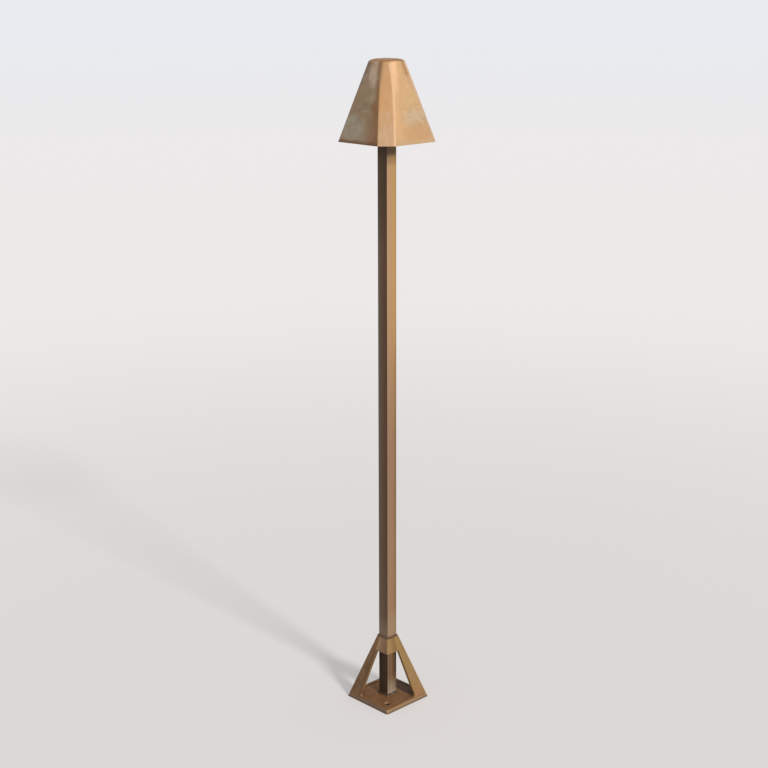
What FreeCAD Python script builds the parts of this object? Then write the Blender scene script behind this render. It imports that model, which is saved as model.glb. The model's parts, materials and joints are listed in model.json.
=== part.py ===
import FreeCAD
import Part

import math
import os

# Garden lantern: a folded hood on a square post, standing on an open pyramid base.
# Millimetres, +Z up. The origin is on the ground under the post's axis, and X and Y run
# along the base's sides. The two legs are on the (+X, +Y) and (-X, -Y) corners, and the
# fixing holes are on the other two.

# Post: square tube
POST_SIDE = 20.0
POST_WALL = 1.6
POST_CORNER = 1.0

# Base plate, let into the frame from below
PLATE_THICKNESS = 5.8
PLATE_LEDGE = 1.2
PLATE_GAP = 0.1
FIXING_CIRCLE = 76.2
FIXING_HOLE = 6.5
FIXING_SINK = 11.0
SINK_ANGLE = 90.0

# Pyramid frame: foot rim, two corner legs and a collar round the post
BASE_WIDTH = 92.5
BASE_HEIGHT = 107.5
COLLAR_HEIGHT = 22.5
COLLAR_LIP = 2.1
COLLAR_GAP = 0.15
COLLAR_EDGE = 0.9
FRAME_WALL = 4.5
LEG_CORNER = 2.4
OPEN_CORNER = 4.0
RIM_ABOVE_PLATE = 0.8
LEG_FOOT_WIDTH = 24.0
LEG_HEAD_WIDTH = 14.0
LEG_FOOT_FILLET = 5.0
LEG_HEAD_FILLET = 1.5

# Grub screws in the collar
GRUB_DIAMETER = 4.0
GRUB_GAP = 0.05
GRUB_SET_BACK = 0.4
GRUB_KEY = 2.0
GRUB_KEY_DEPTH = 1.8

# Rubber grommet where the supply cable comes in
GROMMET_BORE = 9.0
GROMMET_WALL = 1.5
GROMMET_LIP = 1.5
GROMMET_ROOM = 0.5
GROMMET_SINK = 2.2
GROMMET_LIFT = 0.3

# Hood: four faces and four flattened corners
HOOD_FOOT = 897.0
HOOD_HEIGHT = 117.0
HOOD_FOOT_SIDE = 118.3
HOOD_FOOT_FLAT = 25.4
HOOD_TOP_SIDE = 44.4
HOOD_TOP_FLAT = 11.7
HOOD_WALL = 1.5
HOOD_FOLD = 6.0
HOOD_TOP_ROUND = 4.8
HOOD_TOP_BEVEL = 2.4

# Hub that slides over the post, and the pin that it stands on
HUB_ABOVE_FOOT = 14.0
HUB_HEIGHT = 20.0
HUB_WALL = 3.2
HUB_GAP = 0.25
STOP_DIAMETER = 3.0
STOP_REACH = 4.5
STOP_GAP = 0.02
SEAT_GAP = 0.1

# Straps from the hub to the hood's faces
ARM_WIDTH = 10.0
ARM_THICKNESS = 2.0
ARM_DROP = 2.0
ARM_TAB = 12.0
ARM_BEND = 2.0
SOLDER_GAP = 0.05

# Thumb screws with swivel pads
BOSS_WIDTH = 12.0
BOSS_RISE = 8.0
BOSS_THREAD = 5.0
SCREW_DIAMETER = 4.0
SCREW_GAP = 0.05
SCREW_PITCH = 0.7
SCREW_TURNS = 3.0
KNOB_DIAMETER = 11.0
KNOB_LENGTH = 6.0
KNOB_RIDGES = 16
RIDGE_DEPTH = 0.7
KNOB_STAND_OFF = 1.5
PAD_DIAMETER = 7.0
PAD_THICKNESS = 2.2
PAD_GAP = 0.05
PAD_ROOM = 0.2
DOG_DIAMETER = 2.6
DOG_LENGTH = 1.2
DOG_GAP = 0.08

# Plug in the post's open end
POST_ABOVE_HUB = 5.0
PLUG_FLANGE = 2.5
PLUG_SPIGOT = 12.0
PLUG_GAP = 0.1
PLUG_WIRE_HOLE = 6.4

# Two-pin lamp socket
SOCKET_INSET = 1.0
SOCKET_BASE = 3.0
TOWER_HEIGHT = 9.0
TOWER_LENGTH = 12.0
TOWER_CAP = 1.0
SOCKET_SCREW = 2.5
SOCKET_SCREW_HEAD = 4.4
SOCKET_SCREW_HEAD_HEIGHT = 1.7
SOCKET_SCREW_BITE = 4.0
SOCKET_SCREW_EDGE = 2.6
SOCKET_SCREW_GAP = 0.1
TOWER_ROOM = 0.3
CONTACT_WALL = 0.6
CONTACT_GAP = 0.05
CONTACT_TAIL = 1.2
CONTACT_TAIL_LENGTH = 6.0

# Capsule lamp
LAMP_SEAT = 0.2
LAMP_DIAMETER = 9.5
LAMP_LENGTH = 30.0
LAMP_WALL = 1.0
LAMP_SHOULDER = 2.0
LAMP_DOME_RADIUS = 7.0
PINCH_HEIGHT = 8.0
PINCH_WIDTH = 8.4
PINCH_THICKNESS = 3.6
PIN_SPACING = 4.0
PIN_DIAMETER = 0.7
PIN_LENGTH = 7.0
PIN_GAP = 0.1
LEAD_GAP = 0.02
FILAMENT_RISE = 7.0
FILAMENT_DIAMETER = 1.0

# Sizes that follow from the ones above
POST_BORE = POST_SIDE - 2 * POST_WALL
COLLAR_TOP_SIDE = POST_SIDE + 2 * (COLLAR_GAP + COLLAR_LIP)
COLLAR_FOOT = BASE_HEIGHT - COLLAR_HEIGHT
BASE_SLOPE = (BASE_WIDTH - COLLAR_TOP_SIDE) / 2 / BASE_HEIGHT
FRAME_WALL_LEVEL = FRAME_WALL * math.hypot(1, BASE_SLOPE)
RIM_TOP = PLATE_THICKNESS + RIM_ABOVE_PLATE
GRUB_HEIGHT = BASE_HEIGHT - COLLAR_HEIGHT / 2
GROMMET_NECK = GROMMET_BORE + 2 * GROMMET_WALL
GROMMET_FLANGE = POST_BORE - 2 * GROMMET_ROOM

HOOD_TOP = HOOD_FOOT + HOOD_HEIGHT
HUB_FOOT = HOOD_FOOT + HUB_ABOVE_FOOT
HUB_TOP = HUB_FOOT + HUB_HEIGHT
HUB_BORE = POST_SIDE + 2 * HUB_GAP
HUB_SIDE = HUB_BORE + 2 * HUB_WALL
STOP_HEIGHT = HUB_FOOT - SEAT_GAP - STOP_DIAMETER / 2
ARM_TOP = HUB_TOP - ARM_DROP

SCREW_HEIGHT = HUB_FOOT + BOSS_RISE
SCREW_TRAVEL = SCREW_PITCH * SCREW_TURNS
PAD_FACE = POST_SIDE / 2 + PAD_GAP
PAD_BACK = PAD_FACE + PAD_THICKNESS
POCKET_END = PAD_BACK + SCREW_TRAVEL + PAD_ROOM
BOSS_END = POCKET_END + BOSS_THREAD
KNOB_START = BOSS_END + KNOB_STAND_OFF

POST_TOP = HUB_TOP + POST_ABOVE_HUB
SOCKET_FOOT = POST_TOP + PLUG_FLANGE
TOWER_TOP = SOCKET_FOOT + SOCKET_BASE + TOWER_HEIGHT
SOCKET_SIDE = POST_SIDE - 2 * SOCKET_INSET
SOCKET_SCREW_OFFSET = SOCKET_SIDE / 2 - SOCKET_SCREW_EDGE
TOWER_WIDTH = 2 * (SOCKET_SCREW_OFFSET - SOCKET_SCREW_HEAD / 2 - TOWER_ROOM)
SLEEVE_BORE = PIN_DIAMETER + 2 * PIN_GAP
SLEEVE_SIDE = SLEEVE_BORE + 2 * CONTACT_WALL
SLEEVE_TOP = TOWER_TOP - TOWER_CAP
LAMP_FOOT = TOWER_TOP + LAMP_SEAT
BULB_FOOT = LAMP_FOOT + PINCH_HEIGHT
FILAMENT_HEIGHT = BULB_FOOT + FILAMENT_RISE
LAMP_TOP = LAMP_FOOT + LAMP_LENGTH
DOME_FOOT = LAMP_TOP - LAMP_DOME_RADIUS + math.sqrt(LAMP_DOME_RADIUS ** 2 - (LAMP_DIAMETER / 2) ** 2)

X_AXIS = FreeCAD.Vector(1, 0, 0)
Y_AXIS = FreeCAD.Vector(0, 1, 0)
Z_AXIS = FreeCAD.Vector(0, 0, 1)


def point(x, y, z):
    return FreeCAD.Vector(x, y, z)


def turned(shape, angle):
    copy = shape.copy()
    copy.rotate(point(0, 0, 0), Z_AXIS, angle)
    return copy


def moved(shape, y):
    copy = shape.copy()
    copy.translate(Y_AXIS * y)
    return copy


def mirrored(shape, normal):
    return shape.mirror(point(0, 0, 0), normal)


def square_bar(side, low, high, corner=0.0):
    """A square prism on the Z axis with rounded upright corners."""
    bar = Part.makeBox(side, side, high - low, point(-side / 2, -side / 2, low))
    if corner > 0:
        uprights = [edge for edge in bar.Edges if abs(edge.tangentAt(edge.FirstParameter).z) > 0.99]
        bar = bar.makeFillet(corner, uprights)
    return bar


def rounded_face(corners, radii):
    """A flat face with the given corners, each rounded by its own radius."""
    count = len(corners)
    edges = []
    ends = []
    for i in range(count):
        here = corners[i]
        to_last = (corners[i - 1] - here).normalize()
        to_next = (corners[(i + 1) % count] - here).normalize()
        if radii[i] <= 0:
            ends.append((here, None, here))
            continue
        half = to_last.getAngle(to_next) / 2
        set_back = radii[i] / math.tan(half)
        middle = (to_last + to_next).normalize() * (radii[i] / math.sin(half) - radii[i])
        ends.append((here + to_last * set_back, here + middle, here + to_next * set_back))
    for i in range(count):
        start, middle, end = ends[i]
        if middle is not None:
            edges.append(Part.Arc(start, middle, end).toShape())
        edges.append(Part.LineSegment(end, ends[(i + 1) % count][0]).toShape())
    return Part.Face(Part.Wire(edges))


def spun(profile):
    """A solid of revolution about Z from (radius, height) corners."""
    corners = [point(radius, 0, height) for radius, height in profile]
    return Part.Face(Part.makePolygon(corners + corners[:1])).revolve(point(0, 0, 0), Z_AXIS, 360)


def base_half(height):
    """Half the pyramid's width at a height."""
    return BASE_WIDTH / 2 - BASE_SLOPE * height


def tapered_block(low, high):
    """A solid with flat sides between two rings of corners, one above the other."""
    count = len(low)
    rings = [low[::-1], high]
    for i in range(count):
        j = (i + 1) % count
        rings.append([low[i], low[j], high[j], high[i]])
    shell = Part.Shell([Part.Face(Part.makePolygon(ring + ring[:1])) for ring in rings])
    shell.sewShape()
    return Part.Solid(shell)


def square_ring(half, height):
    return [point(half, -half, height), point(half, half, height),
            point(-half, half, height), point(-half, -half, height)]


def square_taper(half_low, half_high, low, high):
    return tapered_block(square_ring(half_low, low), square_ring(half_high, high))


def rising_edges(solid):
    """The edges that climb from one level to another."""
    return [edge for edge in solid.Edges if edge.BoundBox.ZLength > 0.5 * solid.BoundBox.ZLength]


def level_edges(solid, height):
    return [edge for edge in solid.Edges
            if abs(edge.BoundBox.ZMin - height) < 1e-4 and abs(edge.BoundBox.ZMax - height) < 1e-4]


def leg_window():
    """The cut beside a leg, through the face on +X: the leg stays at the face's +Y end."""
    far = BASE_WIDTH
    foot = base_half(RIM_TOP) - LEG_FOOT_WIDTH
    head = base_half(COLLAR_FOOT) - LEG_HEAD_WIDTH
    start = POST_SIDE / 2 + COLLAR_GAP
    corners = [point(start, -far, RIM_TOP), point(start, foot, RIM_TOP),
               point(start, head, COLLAR_FOOT), point(start, -far, COLLAR_FOOT)]
    face = rounded_face(corners, [0, LEG_FOOT_FILLET, LEG_HEAD_FILLET, 0])
    return face.extrude(X_AXIS * far)


def grub_seat(radius, start, end):
    """Round bars along the two grub screws' axes, on the faces towards -X and +Y."""
    along_x = Part.makeCylinder(radius, end - start, point(-start, 0, GRUB_HEIGHT), -X_AXIS)
    along_y = Part.makeCylinder(radius, end - start, point(0, start, GRUB_HEIGHT), Y_AXIS)
    return [along_x, along_y]


def corner_edges(solid, leg):
    """The rising edges on the corners with legs, or on the two without."""
    return [edge for edge in rising_edges(solid) if (edge.CenterOfMass.x * edge.CenterOfMass.y > 0) == leg]


def pyramid_frame():
    frame = square_taper(base_half(0), base_half(BASE_HEIGHT), 0, BASE_HEIGHT)
    frame = frame.makeFillet(LEG_CORNER, corner_edges(frame, True))
    frame = frame.makeFillet(OPEN_CORNER, corner_edges(frame, False))
    frame = frame.makeChamfer(COLLAR_EDGE, level_edges(frame, BASE_HEIGHT))
    inner_low = base_half(PLATE_THICKNESS) - FRAME_WALL_LEVEL
    inner_high = base_half(COLLAR_FOOT) - FRAME_WALL_LEVEL
    hollow = square_taper(inner_low, inner_high, PLATE_THICKNESS, COLLAR_FOOT)
    pocket = square_bar(2 * (inner_low + PLATE_LEDGE + PLATE_GAP), 0, PLATE_THICKNESS)
    post_hole = square_bar(POST_SIDE + 2 * COLLAR_GAP, COLLAR_FOOT, BASE_HEIGHT, POST_CORNER)
    frame = frame.cut([hollow, pocket, post_hole])
    window = leg_window()
    across = mirrored(window, point(1, -1, 0).normalize())
    near = [window, turned(across, 180)]
    far = [turned(window, 180), across]
    seats = grub_seat(GRUB_DIAMETER / 2 + GRUB_GAP, POST_SIDE / 2, BASE_WIDTH / 2)
    return frame.cut(near + far + seats)


def fixing_places():
    """The fixing holes' centres, on the two corners without legs."""
    reach = FIXING_CIRCLE / 2 / math.sqrt(2)
    return [(reach, -reach), (-reach, reach)]


def base_plate():
    half = base_half(PLATE_THICKNESS) - FRAME_WALL_LEVEL + PLATE_LEDGE
    plate = square_bar(2 * half, 0, PLATE_THICKNESS)
    sink_depth = (FIXING_SINK - FIXING_HOLE) / 2 / math.tan(math.radians(SINK_ANGLE / 2))
    cuts = []
    for x, y in fixing_places():
        cuts.append(Part.makeCylinder(FIXING_HOLE / 2, PLATE_THICKNESS, point(x, y, 0), Z_AXIS))
        cuts.append(Part.makeCone(FIXING_HOLE / 2, FIXING_SINK / 2, sink_depth,
                                  point(x, y, PLATE_THICKNESS - sink_depth), Z_AXIS))
    cuts.append(Part.makeCylinder(GROMMET_NECK / 2, PLATE_THICKNESS))
    cuts.append(Part.makeCylinder(GROMMET_FLANGE / 2 + GROMMET_ROOM, GROMMET_SINK))
    return plate.cut(cuts)


def post():
    tube = square_bar(POST_SIDE, PLATE_THICKNESS, POST_TOP, POST_CORNER)
    bore = square_bar(POST_BORE, PLATE_THICKNESS, POST_TOP)
    pin_hole = Part.makeCylinder(STOP_DIAMETER / 2 + STOP_GAP, 2 * POST_SIDE,
                                 point(-POST_SIDE, 0, STOP_HEIGHT), X_AXIS)
    return tube.cut([bore, pin_hole])


def wire_grommet():
    """A square flange in the tube's foot, a neck in the plate's hole and a flange in its underside."""
    top = PLATE_THICKNESS + GROMMET_LIP
    flange = square_bar(GROMMET_FLANGE, PLATE_THICKNESS, top)
    neck = Part.makeCylinder(GROMMET_NECK / 2, PLATE_THICKNESS - GROMMET_SINK, point(0, 0, GROMMET_SINK))
    foot = Part.makeCylinder(GROMMET_FLANGE / 2, GROMMET_SINK - GROMMET_LIFT, point(0, 0, GROMMET_LIFT))
    bore = Part.makeCylinder(GROMMET_BORE / 2, top - GROMMET_LIFT, point(0, 0, GROMMET_LIFT))
    return flange.fuse([neck, foot]).cut(bore)


def hexagon_bar(across_flats, low, high):
    corners = []
    for i in range(6):
        angle = math.radians(60 * i)
        reach = across_flats / math.sqrt(3)
        corners.append(point(reach * math.cos(angle), reach * math.sin(angle), low))
    return Part.Face(Part.makePolygon(corners + corners[:1])).extrude(Z_AXIS * (high - low))


def collar_set_screws():
    tip = POST_SIDE / 2
    end = base_half(GRUB_HEIGHT + GRUB_DIAMETER / 2) - GRUB_SET_BACK
    screw = Part.makeCylinder(GRUB_DIAMETER / 2, end - tip, point(0, 0, tip), Z_AXIS)
    screw = screw.cut(hexagon_bar(GRUB_KEY, end - GRUB_KEY_DEPTH, end))
    along_x = screw.copy()
    along_x.rotate(point(0, 0, 0), Y_AXIS, -90)
    along_y = screw.copy()
    along_y.rotate(point(0, 0, 0), X_AXIS, -90)
    for piece in (along_x, along_y):
        piece.translate(Z_AXIS * GRUB_HEIGHT)
    return Part.makeCompound([along_x, along_y])


def stop_pin():
    length = POST_SIDE + 2 * STOP_REACH
    return Part.makeCylinder(STOP_DIAMETER / 2, length, point(-length / 2, 0, STOP_HEIGHT), X_AXIS)


def post_top_plug():
    flange = square_bar(POST_SIDE, POST_TOP, SOCKET_FOOT, POST_CORNER)
    spigot = square_bar(POST_BORE - 2 * PLUG_GAP, POST_TOP - PLUG_SPIGOT, POST_TOP)
    plug = flange.fuse(spigot).removeSplitter()
    cuts = [Part.makeCylinder(PLUG_WIRE_HOLE / 2, PLUG_SPIGOT + PLUG_FLANGE,
                              point(0, 0, POST_TOP - PLUG_SPIGOT), Z_AXIS)]
    for x in (-SOCKET_SCREW_OFFSET, SOCKET_SCREW_OFFSET):
        cuts.append(Part.makeCylinder(SOCKET_SCREW / 2, SOCKET_SCREW_BITE,
                                      point(x, 0, SOCKET_FOOT - SOCKET_SCREW_BITE), Z_AXIS))
    return plug.cut(cuts)


def pin_places():
    return [-PIN_SPACING / 2, PIN_SPACING / 2]


def lamp_socket():
    """A square ceramic base with an upright tower between its two screws."""
    base = square_bar(SOCKET_SIDE, SOCKET_FOOT, SOCKET_FOOT + SOCKET_BASE)
    tower = Part.makeBox(TOWER_WIDTH, TOWER_LENGTH, SOCKET_BASE + TOWER_HEIGHT,
                         point(-TOWER_WIDTH / 2, -TOWER_LENGTH / 2, SOCKET_FOOT))
    socket = base.fuse(tower).removeSplitter()
    cuts = []
    for x in (-SOCKET_SCREW_OFFSET, SOCKET_SCREW_OFFSET):
        cuts.append(Part.makeCylinder(SOCKET_SCREW / 2 + SOCKET_SCREW_GAP, SOCKET_BASE,
                                      point(x, 0, SOCKET_FOOT), Z_AXIS))
    way = square_bar(SLEEVE_SIDE + 2 * CONTACT_GAP, SOCKET_FOOT, SLEEVE_TOP)
    for y in pin_places():
        cuts.append(Part.makeCylinder(SLEEVE_BORE / 2, TOWER_CAP, point(0, y, SLEEVE_TOP), Z_AXIS))
        cuts.append(moved(way, y))
    return socket.cut(cuts)


def socket_contacts():
    """Two square strip sleeves that take the lamp's pins, with tails down into the plug."""
    bore_foot = LAMP_FOOT - PIN_LENGTH - PIN_GAP
    sleeve = square_bar(SLEEVE_SIDE, SOCKET_FOOT, SLEEVE_TOP)
    tail = square_bar(CONTACT_TAIL, SOCKET_FOOT - CONTACT_TAIL_LENGTH, SOCKET_FOOT)
    bore = square_bar(SLEEVE_BORE, bore_foot, SLEEVE_TOP)
    contact = sleeve.fuse(tail).cut(bore)
    return Part.makeCompound([moved(contact, y) for y in pin_places()])


def socket_screws():
    screws = []
    head_foot = SOCKET_FOOT + SOCKET_BASE
    for x in (-SOCKET_SCREW_OFFSET, SOCKET_SCREW_OFFSET):
        shank = Part.makeCylinder(SOCKET_SCREW / 2, SOCKET_BASE + SOCKET_SCREW_BITE,
                                  point(x, 0, SOCKET_FOOT - SOCKET_SCREW_BITE), Z_AXIS)
        head = Part.makeCylinder(SOCKET_SCREW_HEAD / 2, SOCKET_SCREW_HEAD_HEIGHT,
                                 point(x, 0, head_foot), Z_AXIS)
        screws.append(shank.fuse(head).removeSplitter())
    return Part.makeCompound(screws)


def hood_halves(height):
    """Distances from the axis to the hood's faces and to its flattened corners at a height."""
    share = (height - HOOD_FOOT) / HOOD_HEIGHT
    side = HOOD_FOOT_SIDE + (HOOD_TOP_SIDE - HOOD_FOOT_SIDE) * share
    flat = HOOD_FOOT_FLAT + (HOOD_TOP_FLAT - HOOD_FOOT_FLAT) * share
    return side / 2, (side - flat / math.sqrt(2)) / math.sqrt(2)


def hood_inside(height):
    """The same two distances to the inner skin."""
    face_low, flat_low = hood_halves(HOOD_FOOT)
    face_high, flat_high = hood_halves(HOOD_TOP)
    face, flat = hood_halves(height)
    face_lean = math.hypot(1, (face_low - face_high) / HOOD_HEIGHT)
    flat_lean = math.hypot(1, (flat_low - flat_high) / HOOD_HEIGHT)
    return face - HOOD_WALL * face_lean, flat - HOOD_WALL * flat_lean


def octagon(face, flat, height):
    """A square of half-width face whose corners are cut off at the distance flat."""
    side = flat * math.sqrt(2) - face
    corners = []
    for x, y in ((face, -side), (face, side), (side, face), (-side, face),
                 (-face, side), (-face, -side), (-side, -face), (side, -face)):
        corners.append(point(x, y, height))
    return corners


def folded_form(halves, low, high, fold):
    """A tapering eight-sided block with soft folds."""
    block = tapered_block(octagon(*halves(low), low), octagon(*halves(high), high))
    return block.makeFillet(fold, rising_edges(block))


def shade_hood():
    outside = folded_form(hood_halves, HOOD_FOOT, HOOD_TOP, HOOD_FOLD)
    outside = outside.makeFillet(HOOD_TOP_ROUND, level_edges(outside, HOOD_TOP))
    ceiling = HOOD_TOP - HOOD_WALL
    inside = folded_form(hood_inside, HOOD_FOOT - HOOD_WALL, ceiling, HOOD_FOLD - HOOD_WALL)
    inside = inside.makeChamfer(HOOD_TOP_BEVEL, level_edges(inside, ceiling))
    return outside.cut(inside)


def across_bars(radius, start, end):
    """Round bars along the two thumb screws' axes, towards -Y and +Y."""
    front = Part.makeCylinder(radius, end - start, point(0, -start, SCREW_HEIGHT), -Y_AXIS)
    back = Part.makeCylinder(radius, end - start, point(0, start, SCREW_HEIGHT), Y_AXIS)
    return [front, back]


def hood_hub():
    """A square sleeve with two threaded bosses, and a pocket behind each for its pad."""
    sleeve = square_bar(HUB_SIDE, HUB_FOOT, HUB_TOP)
    bosses = Part.makeBox(BOSS_WIDTH, 2 * BOSS_END, BOSS_WIDTH,
                          point(-BOSS_WIDTH / 2, -BOSS_END, SCREW_HEIGHT - BOSS_WIDTH / 2))
    hub = sleeve.fuse(bosses).removeSplitter()
    cuts = [square_bar(HUB_BORE, HUB_FOOT, HUB_TOP)]
    cuts += across_bars(PAD_DIAMETER / 2 + PAD_ROOM, 0, POCKET_END)
    cuts += across_bars(SCREW_DIAMETER / 2 + SCREW_GAP, 0, BOSS_END)
    return hub.cut(cuts)


def hood_arm():
    """A strap out from the hub's +X face, bent down along the hood's inner skin."""
    face_top = hood_inside(ARM_TOP)[0] - SOLDER_GAP
    slope = (hood_inside(HOOD_FOOT)[0] - hood_inside(HOOD_TOP)[0]) / HOOD_HEIGHT
    down = point(slope, 0, -1).normalize()
    inward = point(down.z, 0, -down.x)
    root = HUB_SIDE / 2
    outer_bend = point(face_top, 0, ARM_TOP)
    tab_end = outer_bend + down * (ARM_TAB + ARM_THICKNESS)
    tab_back = tab_end + inward * ARM_THICKNESS
    rise = (ARM_TOP - ARM_THICKNESS - tab_back.z) / down.z
    inner_bend = tab_back + down * rise
    corners = [point(root, 0, ARM_TOP), outer_bend, tab_end, tab_back, inner_bend,
               point(root, 0, ARM_TOP - ARM_THICKNESS)]
    profile = rounded_face(corners, [0, ARM_BEND + ARM_THICKNESS, 0, 0, ARM_BEND, 0])
    profile.translate(Y_AXIS * (-ARM_WIDTH / 2))
    return profile.extrude(Y_AXIS * ARM_WIDTH)


def ridged_knob():
    """A short bar whose sides are pressed into straight ridges."""
    corners = []
    for i in range(2 * KNOB_RIDGES):
        angle = math.pi * i / KNOB_RIDGES
        reach = KNOB_DIAMETER / 2 - RIDGE_DEPTH * (i % 2)
        corners.append(point(reach * math.cos(angle), reach * math.sin(angle), KNOB_START))
    return Part.Face(Part.makePolygon(corners + corners[:1])).extrude(Z_AXIS * KNOB_LENGTH)


def thumb_screw():
    """A screw along +Z with a ridged knob, turned later to lie across the hub."""
    shank_start = PAD_BACK + PAD_GAP
    dog_start = shank_start - DOG_LENGTH
    dog = DOG_DIAMETER / 2
    shank = SCREW_DIAMETER / 2
    stem = spun([(0, dog_start), (dog, dog_start), (dog, shank_start), (shank, shank_start),
                 (shank, KNOB_START), (0, KNOB_START)])
    return stem.fuse(ridged_knob())


def screw_pad():
    """A disc that bears on the post, with a socket for the screw's end."""
    disc = Part.makeCylinder(PAD_DIAMETER / 2, PAD_THICKNESS, point(0, 0, PAD_FACE), Z_AXIS)
    depth = DOG_LENGTH - PAD_GAP + DOG_GAP
    socket = Part.makeCylinder(DOG_DIAMETER / 2 + DOG_GAP, depth, point(0, 0, PAD_BACK - depth), Z_AXIS)
    return disc.cut(socket)


def laid_across(piece, side):
    """Lay a piece made along +Z across the hub: side is -1 for the front and +1 for the back."""
    laid = piece.copy()
    laid.rotate(point(0, 0, 0), X_AXIS, -90 * side)
    laid.translate(Z_AXIS * SCREW_HEIGHT)
    return laid


def bulb_form():
    """A round capsule with a bevelled shoulder below and a dome of two steps on top."""
    radius = LAMP_DIAMETER / 2
    half = math.asin(radius / LAMP_DOME_RADIUS) / 2
    step = LAMP_TOP - LAMP_DOME_RADIUS * (1 - math.cos(half))
    return spun([(0, BULB_FOOT), (radius - LAMP_SHOULDER, BULB_FOOT), (radius, BULB_FOOT + LAMP_SHOULDER),
                 (radius, DOME_FOOT), (LAMP_DOME_RADIUS * math.sin(half), step), (0, LAMP_TOP)])


def lamp_capsule():
    """A glass bulb on a flat pinch that holds the two lead wires."""
    space_foot = BULB_FOOT + LAMP_SHOULDER
    space = Part.makeCylinder(LAMP_DIAMETER / 2 - LAMP_WALL, DOME_FOOT - space_foot,
                              point(0, 0, space_foot), Z_AXIS)
    pinch = Part.makeBox(PINCH_THICKNESS, PINCH_WIDTH, PINCH_HEIGHT + LAMP_WALL,
                         point(-PINCH_THICKNESS / 2, -PINCH_WIDTH / 2, LAMP_FOOT))
    leads = [Part.makeCylinder(PIN_DIAMETER / 2 + LEAD_GAP, space_foot - LAMP_FOOT,
                               point(0, y, LAMP_FOOT), Z_AXIS) for y in pin_places()]
    return bulb_form().fuse(pinch).removeSplitter().cut([space] + leads)


def lamp_pins():
    foot = LAMP_FOOT - PIN_LENGTH
    pins = [Part.makeCylinder(PIN_DIAMETER / 2, FILAMENT_HEIGHT + FILAMENT_DIAMETER - foot,
                              point(0, y, foot), Z_AXIS) for y in pin_places()]
    return Part.makeCompound(pins)


def lamp_filament():
    length = PIN_SPACING - PIN_DIAMETER
    return Part.makeCylinder(FILAMENT_DIAMETER / 2, length, point(0, -length / 2, FILAMENT_HEIGHT), Y_AXIS)


def lantern():
    """Every piece of the lantern, by name."""
    pieces = {
        "base_plate": base_plate(),
        "pyramid_frame": pyramid_frame(),
        "collar_set_screws": collar_set_screws(),
        "post": post(),
        "wire_grommet": wire_grommet(),
        "stop_pin": stop_pin(),
        "post_top_plug": post_top_plug(),
        "lamp_socket": lamp_socket(),
        "socket_contacts": socket_contacts(),
        "socket_screws": socket_screws(),
        "lamp_capsule": lamp_capsule(),
        "lamp_pins": lamp_pins(),
        "lamp_filament": lamp_filament(),
        "shade_hood": shade_hood(),
        "hood_hub": hood_hub(),
    }
    arm = hood_arm()
    for i, place in enumerate(("front_right", "back_right", "back_left", "front_left")):
        pieces["hood_arm_" + place] = turned(arm, 90 * i)
    screw = thumb_screw()
    pad = screw_pad()
    for place, side in (("front", -1), ("back", 1)):
        pieces[place + "_thumb_screw"] = laid_across(screw, side)
        pieces[place + "_screw_pad"] = laid_across(pad, side)
    return pieces


os.makedirs("parts", exist_ok=True)
for name, shape in lantern().items():
    shape.exportStep("parts/" + name + ".step")
    print(name, len(shape.Solids), "solids", round(shape.Volume), "mm3", shape.isValid())
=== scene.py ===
import json
import math

import bmesh
import bpy
from mathutils import Matrix, Vector


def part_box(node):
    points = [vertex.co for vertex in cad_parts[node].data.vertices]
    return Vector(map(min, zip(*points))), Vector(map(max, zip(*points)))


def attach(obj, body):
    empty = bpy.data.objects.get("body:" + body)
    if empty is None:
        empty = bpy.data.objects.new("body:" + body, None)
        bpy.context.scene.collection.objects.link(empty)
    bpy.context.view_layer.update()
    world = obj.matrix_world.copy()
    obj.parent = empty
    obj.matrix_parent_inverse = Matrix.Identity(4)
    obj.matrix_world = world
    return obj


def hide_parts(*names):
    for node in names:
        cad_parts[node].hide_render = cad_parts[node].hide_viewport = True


# Garden lantern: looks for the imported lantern, in metres, in the lantern's own frame.
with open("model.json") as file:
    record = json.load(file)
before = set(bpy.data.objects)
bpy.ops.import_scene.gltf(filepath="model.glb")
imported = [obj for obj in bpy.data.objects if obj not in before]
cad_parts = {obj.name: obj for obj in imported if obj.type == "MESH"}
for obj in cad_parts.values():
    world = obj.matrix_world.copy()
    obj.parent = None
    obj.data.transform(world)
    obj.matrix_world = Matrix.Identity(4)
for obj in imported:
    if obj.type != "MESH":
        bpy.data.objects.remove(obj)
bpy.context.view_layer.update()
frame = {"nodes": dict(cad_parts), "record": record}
nodes = frame["nodes"]
scene = bpy.context.scene
scene.view_settings.view_transform = "Standard"
hoodLow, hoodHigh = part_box("shade_hood")
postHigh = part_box("post")[1]
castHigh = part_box("pyramid_frame")[1]
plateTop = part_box("base_plate")[1][2]


# Shader sums: a Strand is one socket, and adding or scaling it adds a Math node
class Strand:
    def __init__(self, web, made, output):
        self.web = web
        self.made = made
        self.socket = made.outputs[output]

    def output(self, name):
        return Strand(self.web, self.made, name)

    def sum(self, operation, first, second=0.0):
        return self.web.node("ShaderNodeMath", {"operation": operation}, {0: first, 1: second})

    def __add__(self, other):
        return self.sum("ADD", self, other)

    def __radd__(self, other):
        return self.sum("ADD", other, self)

    def __sub__(self, other):
        return self.sum("SUBTRACT", self, other)

    def __rsub__(self, other):
        return self.sum("SUBTRACT", other, self)

    def __mul__(self, other):
        return self.sum("MULTIPLY", self, other)

    def __rmul__(self, other):
        return self.sum("MULTIPLY", other, self)

    def __truediv__(self, other):
        return self.sum("DIVIDE", self, other)

    def __neg__(self):
        return self.sum("MULTIPLY", self, -1.0)

    def __abs__(self):
        return self.sum("ABSOLUTE", self)

    def least(self, other):
        return self.sum("MINIMUM", self, other)

    def most(self, other):
        return self.sum("MAXIMUM", self, other)


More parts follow.
